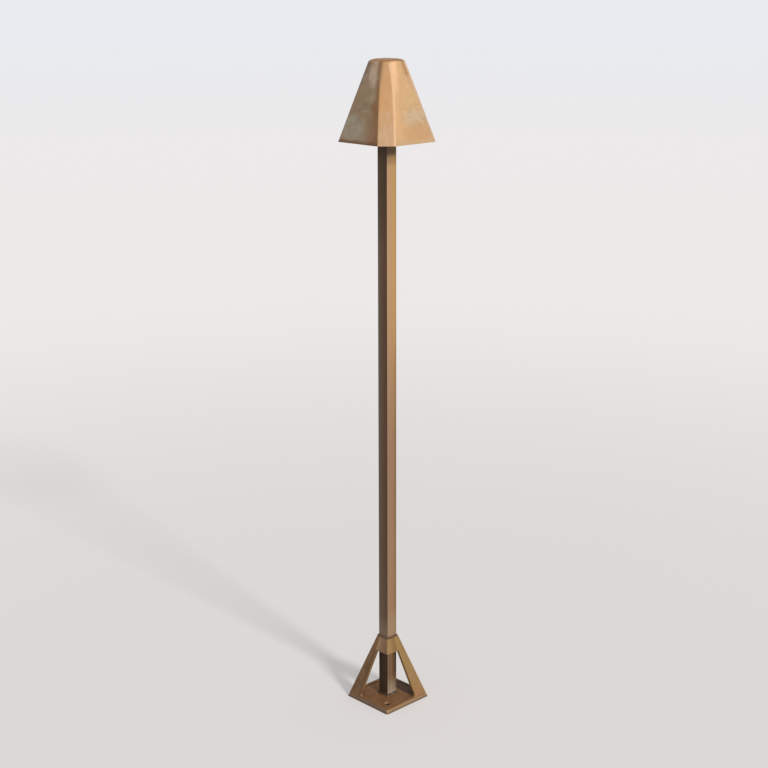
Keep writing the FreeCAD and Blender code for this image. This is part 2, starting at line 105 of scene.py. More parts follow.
class Web:
    def __init__(self, tree):
        self.tree = tree

    # settings go on before the links, and "stops" fills a colour ramp
    def node(self, kind, settings=None, inputs=None, output=0):
        made = self.tree.nodes.new(kind)
        for name, value in (settings or {}).items():
            if name == "stops":
                ramp = made.color_ramp.elements
                while len(ramp) < len(value):
                    ramp.new(1.0)
                for stop, (place, colour) in zip(ramp, value):
                    stop.position = place
                    stop.color = colour
            else:
                setattr(made, name, value)
        for name, value in (inputs or {}).items():
            if isinstance(value, Strand):
                self.tree.links.new(value.socket, made.inputs[name])
            else:
                made.inputs[name].default_value = value
        return Strand(self, made, output)

    def axes(self, vector):
        split = self.node("ShaderNodeSeparateXYZ", None, {0: vector})
        return split, split.output(1), split.output(2)

    # smooth rise from 0 at low to 1 at high, or a fall where low is above high
    def step(self, value, low, high):
        return self.node("ShaderNodeMapRange", {"interpolation_type": "SMOOTHSTEP"},
                         {"Value": value, "From Min": low, "From Max": high})

    def blend(self, share, first, second, way="MIX"):
        return self.node("ShaderNodeMix", {"data_type": "RGBA", "blend_type": way},
                         {0: share, 6: first, 7: second}, 2)

    # a wash is a share and a colour, laid over another colour where the mask is
    def wash(self, mask, colour, wash):
        share, washColour = wash
        return self.blend(share * mask, colour, washColour)

    def stretch(self, vector, sizes):
        return self.node("ShaderNodeVectorMath", {"operation": "MULTIPLY"}, {0: vector, 1: sizes})

    def cloud(self, vector, scale, detail=3.0, rough=0.55, twist=0.0):
        return self.node("ShaderNodeTexNoise", None, {"Vector": vector, "Scale": scale, "Detail": detail,
                                                      "Roughness": rough, "Distortion": twist})

    def ramp(self, value, stops):
        return self.node("ShaderNodeValToRGB", {"stops": stops}, {0: value})

    # soft round patch: 1 in the middle, 0 from its reach outwards
    def patch(self, u, v, middle, reach):
        across, up = (u - middle[0]) / reach[0], (v - middle[1]) / reach[1]
        return self.step(across * across + up * up, 1.0, 0.1)

    # patches laid over a colour in turn: each is (share, colour, middle, reach)
    def quilt(self, colour, u, v, patches):
        for share, patchColour, middle, reach in patches:
            colour = self.wash(self.patch(u, v, middle, reach), colour, (share, patchColour))
        return colour

    # 1 for what the camera, the metal and the glass look at, 0 for light on its way
    def seen(self):
        rays = self.node("ShaderNodeLightPath")
        direct = rays.output("Is Camera Ray").most(rays.output("Is Glossy Ray"))
        return direct.most(rays.output("Is Transmission Ray"))


class Finish(Web):
    def __init__(self, name, **plain):
        self.material = bpy.data.materials.new(name)
        self.material.use_nodes = True
        super().__init__(self.material.node_tree)
        self.shader = self.tree.nodes["Principled BSDF"]
        for socket, value in plain.items():
            self.shader.inputs[socket].default_value = value
        spot = self.node("ShaderNodeTexCoord")
        self.place = spot.output("Object")
        self.normal = spot.output("Normal")
        self.x, self.y, self.z = self.axes(self.place)
        self.nx, self.ny, self.nz = self.axes(self.normal)

    # which way a wall faces, however it leans
    def facing(self):
        level = self.stretch(self.normal, (1.0, 1.0, 0.0))
        return self.axes(self.node("ShaderNodeVectorMath", {"operation": "NORMALIZE"}, {0: level}))[:2]

    def feed(self, **links):
        for socket, strand in links.items():
            name = {"colour": "Base Color", "rough": "Roughness", "metal": "Metallic",
                    "normal": "Normal"}[socket]
            self.tree.links.new(strand.socket, self.shader.inputs[name])

    # height in metres over the surface, whose edges are eased by a small radius
    def emboss(self, height, strength, ease=0.0004):
        soft = self.node("ShaderNodeBevel", {"samples": 4}, {"Radius": ease})
        self.feed(normal=self.node("ShaderNodeBump", None, {"Strength": strength, "Distance": 1.0,
                                                           "Height": height, "Normal": soft}))


# a colour as a paint chart gives it
def tint(red, green, blue):
    channels = [c / 12.92 if c <= 0.04045 else ((c + 0.055) / 1.055) ** 2.4 for c in (red, green, blue)]
    return (*channels, 1.0)


# Hood: eight sides, whose four faces swell a little so that the folds bow
hoodShape = {
    "topShare": 0.3753,
    "foldShare": (0.6964, 0.6275),
    "swell": 0.0013,
    "swellHigh": 0.6,
    "wall": 0.0015,
    "foldRound": (0.0052, 0.0115),
    "foldLimit": 2.2,
    "foldSteps": 8,
    "faceSteps": (0.12, 0.35, 0.65, 0.88),
    "topRound": 0.0062,
    "crownEase": 25.0,  # degrees short of level
    "crownRings": (0.96, 0.9, 0.8, 0.65, 0.45, 0.2),
    "dome": 0.0024,
    "domePower": 4,
    "ceilingRound": 0.0024,
    "rows": 28,
    "bend": 8,
}

# golden brass on the sunny faces, and a grey-brown bloom on the two weathered faces away from the sun,
# partly painted shade
hoodUmber = tint(0.56, 0.41, 0.26)
hoodLook = {
    "driftScale": 24.0,
    "patchScale": 34.0,
    "patchStretch": (1.0, -1.0, 1.4),
    "mottleScale": 95.0,
    "grainScale": 700.0,
    "streakScale": (190.0, 190.0, 9.0),
    "warp": (0.55, 0.30),
    "relief": (0.0004, 0.00006, 0.000012),
    "gold": tint(0.80, 0.635, 0.455),
    "sunnyPatches": [
        (0.95, tint(0.63, 0.46, 0.285), (0.54, 0.99), (0.42, 0.25)),
        # a painted highlight at the top of each sunny face, by its fold on the left
        (0.9, tint(0.945, 0.745, 0.56), (-0.62, 0.98), (0.60, 0.42)),
        (0.8, tint(0.87, 0.68, 0.475), (-0.75, 0.52), (0.40, 0.50)),
        (0.85, tint(0.765, 0.61, 0.45), (0.50, 0.74), (0.45, 0.17)),
        (0.85, tint(0.795, 0.655, 0.465), (0.25, 0.53), (0.55, 0.15)),
        (0.9, tint(0.775, 0.665, 0.53), (0.28, 0.32), (0.64, 0.14)),
        (0.65, tint(0.745, 0.575, 0.395), (0.35, 0.12), (0.85, 0.18)),
    ],
    "faceEdge": (0.0010, -0.0016),
    "speck": (0.4, tint(0.67, 0.54, 0.38)),
    "speckScale": 150.0,
    "speckPlace": ((0.25, 0.34), (0.75, 0.26)),
    "paleFoot": (0.8, tint(0.75, 0.625, 0.46)),
    "paleFootRise": (0.075, 0.045),
    "pastMiddle": (0.0, 0.008),
    "farFold": (0.65, tint(0.68, 0.60, 0.50)),
    "farFoldReach": (-0.0050, 0.0015),
    "cornerTop": tint(0.745, 0.57, 0.39),
    "cornerMid": tint(0.77, 0.58, 0.38),
    "cornerMidRise": (0.90, 0.55),
    "cornerFoot": tint(0.755, 0.605, 0.455),
    "cornerFootRise": (0.65, 0.10),
    "cornerStreak": (0.7, tint(0.755, 0.63, 0.495)),
    "cornerStreakRise": (0.75, 0.35),
    "cornerFacing": (1.2, 1.38),
    "farEdge": (0.6, tint(0.62, 0.49, 0.35)),
    "foldHighlightTint": (0.7, tint(0.885, 0.725, 0.56)),
    "agedAndShaded": tint(0.615, 0.53, 0.425),
    "agedAndShadedPatches": [
        # the first patch is a painted highlight along the top edge
        (0.85, tint(0.69, 0.54, 0.41), (0.16, 1.0), (0.80, 0.14)),
        (0.9, tint(0.615, 0.55, 0.455), (-0.52, 0.82), (0.34, 0.24)),
        (0.95, tint(0.755, 0.665, 0.56), (0.12, 0.83), (0.32, 0.23)),
        (0.9, tint(0.60, 0.52, 0.39), (-0.12, 0.56), (0.52, 0.16)),
        (0.95, tint(0.645, 0.605, 0.52), (-0.22, 0.21), (0.50, 0.26)),
        (0.85, tint(0.59, 0.435, 0.295), (0.66, 0.70), (0.34, 0.45)),
        (0.9, tint(0.585, 0.44, 0.315), (0.60, 0.27), (0.34, 0.42)),
        (0.8, tint(0.44, 0.345, 0.25), (-0.58, 1.06), (0.46, 0.36)),
        # a painted shadow at the foot, by the fold on the right
        (0.8, tint(0.43, 0.29, 0.195), (0.66, -0.02), (0.55, 0.13)),
    ],
    "shadedFacing": (0.85, 0.97),
    "spots": [
        (0.5, tint(0.67, 0.575, 0.475), (0.28, 0.535), (0.30, 0.06)),
        (0.6, tint(0.54, 0.385, 0.25), (0.38, 0.415), (0.20, 0.07)),
        (0.30, tint(0.44, 0.36, 0.26), (0.0, 0.445), (0.30, 0.06)),
    ],
    "spotSlant": 0.06,
    "spotWarp": (0.25, 0.05),
    "stain": (0.35, hoodUmber),
    "nearFold": (0.75, hoodUmber),
    "nearFoldReach": (-0.0070, 0.001),
    "rim": (0.8, tint(0.44, 0.30, 0.205)),
    "rimRise": (0.085, 0.040),
    "slate": (0.8, tint(0.43, 0.375, 0.33)),
    "brushed": [(0.3, (0.3, 0.3, 0.3, 1.0)), (0.7, (0.78, 0.78, 0.78, 1.0))],
    "brushedShare": 0.16,
    "crown": tint(0.65, 0.49, 0.345),
    "crownPale": tint(0.69, 0.555, 0.44),
    "crownFacing": (0.55, 0.97),
    "crownMiddle": (0.974, 0.998),
    "crownStain": (0.4, hoodUmber),
    "inside": tint(0.72, 0.60, 0.42),
    "soot": tint(0.36, 0.30, 0.24),
    "sootRise": (0.6, 1.1),
}


# how far a face swells at a share of the hood's height
def hoodSwell(shape, rise):
    return 4 * shape["swell"] * rise * (1.0 - rise) * (1.0 + shape["swellHigh"] * (2.0 * rise - 1.0))


def hoodFinish(look, shape):
    web = Finish("hoodPatinaAndShading")
    rise = (web.z - hoodLow[2]) / (hoodHigh[2] - hoodLow[2])
    footHalf, topHalf = hoodHigh[0], hoodHigh[0] * shape["topShare"]
    footFold, topFold = footHalf * shape["foldShare"][0], topHalf * shape["foldShare"][1]
    swell = hoodSwell(shape, rise)
    half = footHalf + (topHalf - footHalf) * rise + swell
    foldAt = footFold + (topFold - footFold) * rise - swell
    east, north = web.facing()
    drift = web.cloud(web.place, look["driftScale"], 4.0, 0.6, 0.5)
    patches = web.cloud(web.stretch(web.place, look["patchStretch"]), look["patchScale"], 4.0, 0.6, 0.5)
    mottle = web.cloud(web.place, look["mottleScale"], 4.0, 0.6)
    grain = web.cloud(web.place, look["grainScale"], 2.0)
    streaks = web.cloud(web.stretch(web.place, look["streakScale"]), 1.0, 2.0)
    # distance past the fold between a face and a flattened corner: below 0 on the face
    fold = abs(web.x).least(abs(web.y)) - foldAt
    onFace = web.step(fold, *look["faceEdge"])
    across = (web.y * east - web.x * north) / half
    u = across + look["warp"][0] * (drift - 0.5)
    v = rise + look["warp"][1] * (patches - 0.5)

    sunny = web.quilt(look["gold"], u, v, look["sunnyPatches"])
    specks = web.step(web.cloud(web.place, look["speckScale"], 3.0), 0.42, 0.68)
    sunny = web.wash(specks * web.patch(u, v, *look["speckPlace"]), sunny, look["speck"])
    sunny = web.wash(web.step(rise + 0.03 * mottle, *look["paleFootRise"]), sunny, look["paleFoot"])
    farFold = web.step(fold + 0.003 * drift, *look["farFoldReach"]) * web.step(web.y, *look["pastMiddle"])
    sunny = web.wash(farFold, sunny, look["farFold"])
    height = v + 0.15 * streaks
    corner = web.blend(web.step(height, *look["cornerMidRise"]), look["cornerTop"], look["cornerMid"])
    corner = web.blend(web.step(height, *look["cornerFootRise"]), corner, look["cornerFoot"])
    streaked = web.step(v, *look["cornerStreakRise"]) * web.step(streaks, 0.48, 0.62)
    corner = web.wash(streaked, corner, look["cornerStreak"])
    corner = web.wash(web.step(east + north, *look["cornerFacing"]), corner, look["farEdge"])
    cleanAndLit = web.blend(onFace, corner, sunny)

    agedAndShaded = web.quilt(look["agedAndShaded"], u, v, look["agedAndShadedPatches"])
    spotAcross = across + look["spotWarp"][0] * (drift - 0.5)
    spotRise = rise - look["spotSlant"] * across + look["spotWarp"][1] * (patches - 0.5)
    agedAndShaded = web.quilt(agedAndShaded, spotAcross, spotRise, look["spots"])
    agedAndShaded = web.wash(web.step(patches + 0.5 * mottle, 0.70, 0.90), agedAndShaded, look["stain"])
    nearFold = web.step(fold + 0.006 * drift, *look["nearFoldReach"]) * web.step(web.x, *look["pastMiddle"])
    agedAndShaded = web.wash(nearFold, agedAndShaded, look["nearFold"])
    # painted shade along the foot of these faces
    agedAndShaded = web.wash(web.step(rise + 0.06 * patches, *look["rimRise"]), agedAndShaded, look["rim"])
    shadedCorner = web.step(-east - north, *look["cornerFacing"])
    agedAndShaded = web.wash(shadedCorner, agedAndShaded, look["slate"])
    # the faces away from the sun take the aged colours: weathered patina, and partly painted shade
    dull = web.step(-north, *look["shadedFacing"]).most(0.9 * web.step(-east, *look["shadedFacing"]))
    dull = dull.most(0.8 * shadedCorner)
    up = web.step(web.nz, *look["crownFacing"])
    share = web.step(dull + 0.35 * (mottle - 0.5), 0.25, 0.75) * (1.0 - up)
    colour = web.blend(share, cleanAndLit, agedAndShaded)

    # painted highlight on the folds that face the sun, and a brushed grain over all
    foldHighlight = web.step(web.nx, 0.69, 0.80) * web.step(abs(web.ny), 0.04, 0.22)
    colour = web.wash(foldHighlight, colour, look["foldHighlightTint"])
    brushed = web.ramp(0.6 * streaks + 0.4 * mottle, look["brushed"])
    colour = web.blend(look["brushedShare"], colour, brushed, "OVERLAY")
    pale = web.step(web.nz + 0.008 * mottle, *look["crownMiddle"])
    crown = web.blend(pale, look["crown"], look["crownPale"])
    crown = web.wash(web.step(patches + 0.4 * mottle, 0.60, 0.85), crown, look["crownStain"])
    colour = web.blend(up, colour, crown)
    hidden = web.step(web.nx * web.x + web.ny * web.y, 0.0, -0.006).most(web.step(-web.nz, 0.8, 0.95))
    lining = web.blend(web.step(rise + 0.3 * patches, *look["sootRise"]), look["inside"], look["soot"])
    web.feed(colour=web.blend(hidden, colour, lining), metal=0.16 + 0.3 * share - 0.1 * foldHighlight + 0.2 * up,
             rough=0.52 + 0.10 * share + 0.12 * mottle + 0.08 * foldHighlight + 0.25 * up)
    swells, dents, scratches = look["relief"]
    web.emboss(swells * drift + dents * mottle + scratches * grain, 0.6)
    return web.material


# Post: drawn tube, streaked tan on the sunny faces and dark brown on the others
postLook = {
    "streakScale": (420.0, 420.0, 3.0),
    "threadScale": (1500.0, 1500.0, 6.0),
    "patchScale": (30.0, 30.0, 9.0),
    "grainScale": 900.0,
    "relief": (0.00004, 0.00002, 0.00001),
    # colours across the near faces, from their left to their right edge
    "sunny": [
        (0.0, tint(0.73, 0.60, 0.465)), (0.3, tint(0.75, 0.59, 0.42)), (0.55, tint(0.755, 0.58, 0.405)),
        (0.75, tint(0.77, 0.61, 0.35)), (0.9, tint(0.71, 0.56, 0.36)), (1.0, tint(0.62, 0.50, 0.36)),
    ],
    "lowSunny": [
        (0.0, tint(0.61, 0.50, 0.395)), (0.3, tint(0.615, 0.48, 0.37)), (0.55, tint(0.635, 0.47, 0.34)),
        (0.78, tint(0.57, 0.44, 0.30)), (1.0, tint(0.45, 0.355, 0.245)),
    ],
    "shaded": [
        (0.0, tint(0.44, 0.385, 0.32)), (0.4, tint(0.40, 0.315, 0.24)), (0.75, tint(0.375, 0.27, 0.18)),
        (1.0, tint(0.36, 0.23, 0.14)),
    ],
    "topShade": (0.6, tint(0.26, 0.18, 0.08)),
    "lowShade": (0.7, tint(0.42, 0.355, 0.275)),
    "collarShade": (0.75, tint(0.52, 0.45, 0.36)),
    "collarPale": (0.5, tint(0.655, 0.565, 0.46)),
    "arris": (0.35, tint(0.80, 0.64, 0.46)),
    "umber": tint(0.27, 0.19, 0.125),
    "hoodShadow": 0.84,
    "streakDark": 0.45,
    "farDark": 0.6,
    "legShadow": 0.7,
    "footReflection": (0.85, tint(0.84, 0.80, 0.72)),
    # heights between which a colour sets in
    "lowSunnyFrom": (0.78, 0.49),
    "topShadeFrom": (0.76, 0.88),
    "lowShadeFrom": (0.42, 0.14),
    "collarShadeFrom": (castHigh[2] + 0.0425, castHigh[2] + 0.0145),
    "collarPaleFrom": (castHigh[2] + 0.0625, castHigh[2] + 0.0225),
    "insideCollar": (castHigh[2] - 0.0195, castHigh[2] - 0.0095),
    "hoodShadowFrom": (hoodLow[2] - 0.024, hoodLow[2] - 0.015),
    "legDarkFrom": (castHigh[2] - 0.0155, castHigh[2] - 0.0255),
    "legDarkTo": (plateTop + 0.0162, plateTop + 0.0442),
    "legShadowFrom": (castHigh[2] - 0.0125, castHigh[2] - 0.0235),
    "glintFrom": (plateTop + 0.0442, plateTop + 0.0162),
    "glintFootFrom": (plateTop + 0.0117, plateTop + 0.0087),
}


def postFinish(look):
    web = Finish("postPatinaAndShading", Metallic=0.5)
    streaks = web.cloud(web.stretch(web.place, look["streakScale"]), 1.0, 3.0)
    threads = web.cloud(web.stretch(web.place, look["threadScale"]), 1.0, 2.0)
    patches = web.cloud(web.stretch(web.place, look["patchScale"]), 1.0, 4.0, 0.6)
    grain = web.cloud(web.place, look["grainScale"], 2.0)
    half = postHigh[0]
    onX = web.step(abs(web.nx), 0.6, 0.8)
    share = ((onX * web.y + (1.0 - onX) * web.x) + half) / (2 * half) + 0.24 * (streaks - 0.5)
    sunny = web.blend(web.step(web.z + 0.16 * patches, *look["lowSunnyFrom"]),
                      web.ramp(share, look["sunny"]), web.ramp(share, look["lowSunny"]))
    shaded = web.ramp(share, look["shaded"])
    shaded = web.wash(web.step(web.z + 0.1 * patches, *look["topShadeFrom"]), shaded, look["topShade"])
    lowShade = web.step(web.z + 0.15 * patches, *look["lowShadeFrom"]) * web.step(streaks, 0.3, 0.6)
    shaded = web.wash(lowShade, shaded, look["lowShade"])
    overCollar = web.step(web.z, *look["insideCollar"])
    ragged = web.z + 0.01 * patches
    collarShade = overCollar * web.step(ragged, *look["collarShadeFrom"])
    shaded = web.wash(collarShade, shaded, look["collarShade"])
    collarPale = overCollar * web.step(ragged, *look["collarPaleFrom"])
    sunny = web.wash(collarPale, sunny, look["collarPale"])
    # the faces away from the sun take the shaded colours: painted shade, partly dark oxide
    dark = web.step(-web.ny, 0.35, 0.75).most(0.9 * web.step(-web.nx, 0.35, 0.75))
    colour = web.blend(web.step(dark + 0.2 * (patches - 0.5), 0.35, 0.75), sunny, shaded)
    colour = web.wash(web.step(threads, 0.52, 0.7) * (1.0 - dark), colour, look["arris"])

    # painted shadow of the hood at the post's top, and darker streaks and a darker far side between the
    # legs
    underHood = web.step(web.z + 0.002 * streaks, *look["hoodShadowFrom"])
    byLegs = web.step(ragged, *look["legDarkFrom"]) * web.step(web.z, *look["legDarkTo"])
    streaked = look["streakDark"] * web.step(streaks, 0.62, 0.42)
    farSide = look["farDark"] * web.step(share, 0.55, 0.80)
    shadowAndDarkening = (look["hoodShadow"] * underHood).most(byLegs * streaked.most(farSide))
    colour = web.blend(shadowAndDarkening, colour, look["umber"])
    legShadow = dark * web.step(ragged, *look["legShadowFrom"])
    colour = web.wash(legShadow, colour, (look["legShadow"], look["umber"]))

    # painted reflection of the sunlit plate on the sunny side of the foot
    sunSide = web.step(web.nx, 0.4, 0.8)
    sunGlint = sunSide * web.step(web.z + 0.02 * streaks, *look["glintFrom"])
    sunGlint = sunGlint * web.step(streaks + 0.4 * threads, 0.50, 0.78)
    glintPart = sunSide * web.step(web.z + 0.003 * threads, *look["glintFootFrom"])
    sunGlint = sunGlint.most(0.8 * glintPart)
    colour = web.wash(sunGlint, colour, look["footReflection"])
    web.feed(colour=colour, rough=0.38 + 0.15 * dark + 0.15 * patches - 0.12 * sunGlint)
    ribs, scratches, dust = look["relief"]
    web.emboss(ribs * streaks + scratches * threads + dust * grain, 0.7)
    return web.material


# Base: cast frame and plate, brown on the faces away from the sun and gold on the sunny ones, as painted
# light and shade, and pale gold where it is rubbed
baseDeep = tint(0.40, 0.29, 0.175)
basePit = tint(0.16, 0.11, 0.07)
baseLook = {
    "patchScale": 38.0,
    "mottleScale": 150.0,
    "grainScale": 650.0,
    "pitScale": 420.0,
    "streakScale": (260.0, 260.0, 16.0),
    "relief": (0.00022, 0.00011, 0.00005, 0.00012),
    "edgeRound": 0.0008,
    "rimStep": 0.0008,
    "collarFrom": (0.75, 0.83),
    "mouthShare": 0.265,
    "gold": tint(0.60, 0.475, 0.295),
    "olive": tint(0.555, 0.435, 0.235),
    "orange": tint(0.605, 0.44, 0.285),
    "orangeRise": (0.42, 0.20),
    # colours across the collar's near faces, sunny and shaded, from their left to their right edge; the
    # paler bands are painted highlights
    "collarLit": [
        (0.06, tint(0.48, 0.365, 0.25)), (0.17, tint(0.63, 0.50, 0.30)), (0.30, tint(0.57, 0.435, 0.25)),
        (0.48, tint(0.48, 0.365, 0.195)), (0.68, tint(0.63, 0.49, 0.29)), (0.9, tint(0.58, 0.445, 0.26)),
    ],
    "collarLitShare": 0.7,
    "collarDull": [
        (0.10, tint(0.50, 0.37, 0.22)), (0.24, tint(0.47, 0.36, 0.20)), (0.38, tint(0.66, 0.55, 0.41)),
        (0.55, tint(0.57, 0.44, 0.335)), (0.8, tint(0.54, 0.405, 0.30)), (0.95, tint(0.48, 0.36, 0.22)),
    ],
    "collarDullShare": 0.85,
    "brown": tint(0.49, 0.37, 0.235),
    "cloudy": (0.7, baseDeep),
    "legInner": (0.65, baseDeep),
    "legEdge": -0.0214,  # where the left leg's inner edge meets the ground, and how it leans
    "legLean": 0.1865,
    "legEdgeReach": (-0.0075, -0.0035),
    "litCutSide": (0.6, tint(0.64, 0.50, 0.31)),
    "rimTan": tint(0.54, 0.43, 0.30),
    "rimGrey": tint(0.45, 0.36, 0.285),
    "rimShare": 0.8,
    "rimRise": (0.085, 0.060),
    "wallTan": tint(0.64, 0.53, 0.39),
    "wallGrey": tint(0.52, 0.42, 0.345),
    "wallShare": 0.55,
    "wallMiddle": 0.68,
    "rimFoot": (0.65, tint(0.30, 0.235, 0.165)),
    "rimTop": (0.6, tint(0.47, 0.32, 0.175)),
    "rimTopReach": (0.0009, 0.0003),
    "plate": tint(0.50, 0.345, 0.20),
    "platePale": tint(0.57, 0.41, 0.26),
    "plateShare": 0.9,
    "plateShade": (0.75, tint(0.235, 0.165, 0.115)),
    "plateShadeAlongY": (0.0195, 0.0245),
    "plateShadeAlongX": (-0.030, -0.010),
    "hole": (0.9, basePit),
    "holeShare": 0.5825,
    "holeReach": (0.003808, 0.003240),
    "pits": (0.5, basePit),
    "rub": (0.35, tint(0.72, 0.58, 0.38)),
    "rubReach": (-0.0026, -0.0010),
}


def baseFinish(look):
    web = Finish("baseCastingAndShading", Metallic=0.4)
    patches = web.cloud(web.place, look["patchScale"], 4.0, 0.6, 0.4)
    mottle = web.cloud(web.place, look["mottleScale"], 4.0, 0.6)
    grain = web.cloud(web.place, look["grainScale"], 3.0, 0.6)
    pits = web.step(web.cloud(web.place, look["pitScale"], 1.0), 0.30, 0.22)
    streaks = web.cloud(web.stretch(web.place, look["streakScale"]), 1.0, 2.0)
    rise = web.z / castHigh[2]
    half = castHigh[0] * (1.0 - (1.0 - look["mouthShare"]) * rise)
    # sunny faces take the lit colours and the others the dull ones, as painted light and shade; the left
    # leg's foot keeps the dull ones
    sun = web.step(web.nx, 0.2, 0.8).most(0.8 * web.step(web.ny, 0.2, 0.8))
    sun = sun * (1.0 - 0.8 * web.step(rise, 0.20, 0.10) * web.step(-web.x, 0.004, 0.012))
    onCollar = web.step(rise, *look["collarFrom"])
    lit = web.blend(web.step(rise + 0.25 * patches, *look["orangeRise"]), look["gold"], look["orange"])
    lit = web.blend((0.45 + 0.2 * onCollar) * web.step(streaks, 0.40, 0.65), lit, look["olive"])
    litAcross = web.y / half + 0.35 * (patches - 0.5)
    collarLit = web.ramp((litAcross + 1.0) * 0.5, look["collarLit"])
    lit = web.wash(onCollar, lit, (look["collarLitShare"], collarLit))
    dull = web.wash(web.step(patches, 0.42, 0.62), look["brown"], look["cloudy"])
    # the left leg darkens towards its inner edge
    inner = web.step(web.x - look["legEdge"] - look["legLean"] * web.z, *look["legEdgeReach"])
    inner = inner * web.step(-web.ny, 0.6, 0.9)
    dull = web.wash(inner * (1.0 - onCollar), dull, look["legInner"])
    dullAcross = (web.x + web.y) / half + 1.0 + 0.25 * (patches - 0.5)
    collarDull = web.ramp((dullAcross + 1.0) * 0.5, look["collarDull"])
    dull = web.wash(onCollar, dull, (look["collarDullShare"], collarDull))
    colour = web.blend(sun, dull, lit)
    # painted light on the upright faces that look along -Y, such as the legs' cut faces, which the sun
    # hardly reaches
    colour = web.wash(web.step(-web.ny, 0.962, 0.985), colour, look["litCutSide"])

    # painted light and shade on the rim: tan on its sunny side and grey on the other, palest above its
    # middle as a painted highlight, and dark along the ground as painted shade with dark patina
    rimTop = plateTop + look["rimStep"]
    atRim = web.step(rise + 0.02 * mottle, *look["rimRise"]) * web.step(abs(web.nz), 0.85, 0.5)
    rimColour = web.blend(sun, look["rimGrey"], look["rimTan"])
    colour = web.wash(atRim, colour, (look["rimShare"], rimColour))
    onWall = web.step(abs(web.nz), 0.9, 0.6) * web.step(web.z, rimTop, 0.9 * rimTop)
    middle = web.step(abs(web.z / rimTop - look["wallMiddle"]), 0.30, 0.10)
    wallColour = web.blend(sun, look["wallGrey"], look["wallTan"])
    paleWall = onWall * middle * web.step(mottle, 0.30, 0.55)
    colour = web.wash(paleWall, colour, (look["wallShare"], wallColour))
    colour = web.wash(onWall * web.step(web.z / rimTop, 0.36, 0.10), colour, look["rimFoot"])
    edge = web.step(abs(web.z - rimTop), *look["rimTopReach"]) * web.step(abs(web.nz), 0.99, 0.9)
    colour = web.wash(edge * web.step(rise, 0.08, 0.065), colour, look["rimTop"])

    # painted shadow on the plate behind the right leg, and painted shade inside the fixing holes
    flat = web.step(web.nz, 0.7, 0.95)
    plate = web.blend(web.step(mottle + 0.4 * patches, 0.60, 0.85), look["plate"], look["platePale"])
    shade = web.step(web.y + 0.006 * (patches - 0.5), *look["plateShadeAlongY"])
    shade = shade * web.step(web.x, *look["plateShadeAlongX"])
    plate = web.wash(shade, plate, look["plateShade"])
    colour = web.wash(flat, colour, (look["plateShare"], plate))
    hole = castHigh[0] * look["holeShare"]
    holeX, holeY = abs(web.x) - hole, abs(web.y) - hole
    inHole = web.step(holeX * holeX + holeY * holeY, *[reach * reach for reach in look["holeReach"]])
    inHole = inHole * web.step(-web.x * web.y, 0.0, 0.0001)
    colour = web.wash(inHole, colour, look["hole"])
    colour = web.wash(pits, colour, look["pits"])
    # edges rubbed bright, more where they face the sun as a painted highlight
    rub = web.step(abs(web.x).least(abs(web.y)) - half, *look["rubReach"])
    rub = rub * web.step(web.z / rimTop, 0.15, 0.45) * web.step(mottle, 0.42, 0.58)
    colour = web.wash(rub * (0.4 + 0.6 * sun), colour, look["rub"])
    web.feed(colour=colour, rough=0.46 + 0.25 * mottle + 0.15 * flat)
    swells, dents, dust, pitDepth = look["relief"]
    height = swells * patches + dents * mottle + dust * grain - pitDepth * pits
    web.emboss(height, 0.8, look["edgeRound"])
    return web.material


# Small metal and insulating parts
def smallFinish(name, light, dark, metal, rough, scale, bump):
    web = Finish(name, Metallic=metal)
    clouds = web.cloud(web.place, scale, 4.0, 0.6)
    grain = web.cloud(web.place, scale * 9.0, 2.0)
    web.feed(colour=web.blend(web.step(clouds + 0.2 * grain, 0.45, 0.75), light, dark),
             rough=rough + 0.18 * clouds)
    web.emboss(bump * clouds + 0.2 * bump * grain, 0.7)
    return web.material


fittingLook = {
    "brass": {
        "light": tint(0.76, 0.60, 0.36), "dark": tint(0.56, 0.42, 0.25),
        "metal": 0.85, "rough": 0.30, "scale": 140.0, "bump": 0.00006,
    },
    "steel": {
        "light": tint(0.66, 0.66, 0.66), "dark": tint(0.46, 0.44, 0.42),
        "metal": 1.0, "rough": 0.25, "scale": 300.0, "bump": 0.00003,
    },
    "rubber": {
        "light": tint(0.10, 0.10, 0.10), "dark": tint(0.17, 0.165, 0.16),
        "metal": 0.0, "rough": 0.55, "scale": 200.0, "bump": 0.00005,
    },
    "ceramic": {
        "light": tint(0.90, 0.88, 0.83), "dark": tint(0.82, 0.79, 0.72),
        "metal": 0.0, "rough": 0.35, "scale": 160.0, "bump": 0.00003,
    },
    "tungsten": {
        "light": tint(0.55, 0.55, 0.56), "dark": tint(0.38, 0.38, 0.40),
        "metal": 1.0, "rough": 0.30, "scale": 900.0, "bump": 0.00001,
    },
}

clearLook = {
    "light": tint(0.97, 0.97, 0.96),
    "clear": tint(0.99, 0.99, 0.99),
    "bending": 1.46,
    "scale": 90.0,
}


def glassFinish(look):
    web = Finish("lampGlass", **{"Transmission Weight": 1.0, "IOR": look["bending"], "Metallic": 0.0})
    clouds = web.cloud(web.place, look["scale"], 3.0)
    web.feed(colour=web.blend(clouds, look["light"], look["clear"]), rough=0.02 + 0.05 * clouds)
    return web.material


finishes = {
    "hood_brass": hoodFinish(hoodLook, hoodShape),
    "post_brass": postFinish(postLook),
    "base_brass": baseFinish(baseLook),
    "fitting_brass": smallFinish("fittingBrass", **fittingLook["brass"]),
    "steel": smallFinish("brightSteel", **fittingLook["steel"]),
    "rubber": smallFinish("blackRubber", **fittingLook["rubber"]),
    "ceramic": smallFinish("lampCeramic", **fittingLook["ceramic"]),
    "lamp_glass": glassFinish(clearLook),
    "lamp_wire": smallFinish("lampTungsten", **fittingLook["tungsten"]),
}

for subpart in frame["record"]["subparts"]:
    part = nodes[subpart["node"]]
    part.data.materials.clear()
    part.data.materials.append(finishes[subpart["material_slot"]])

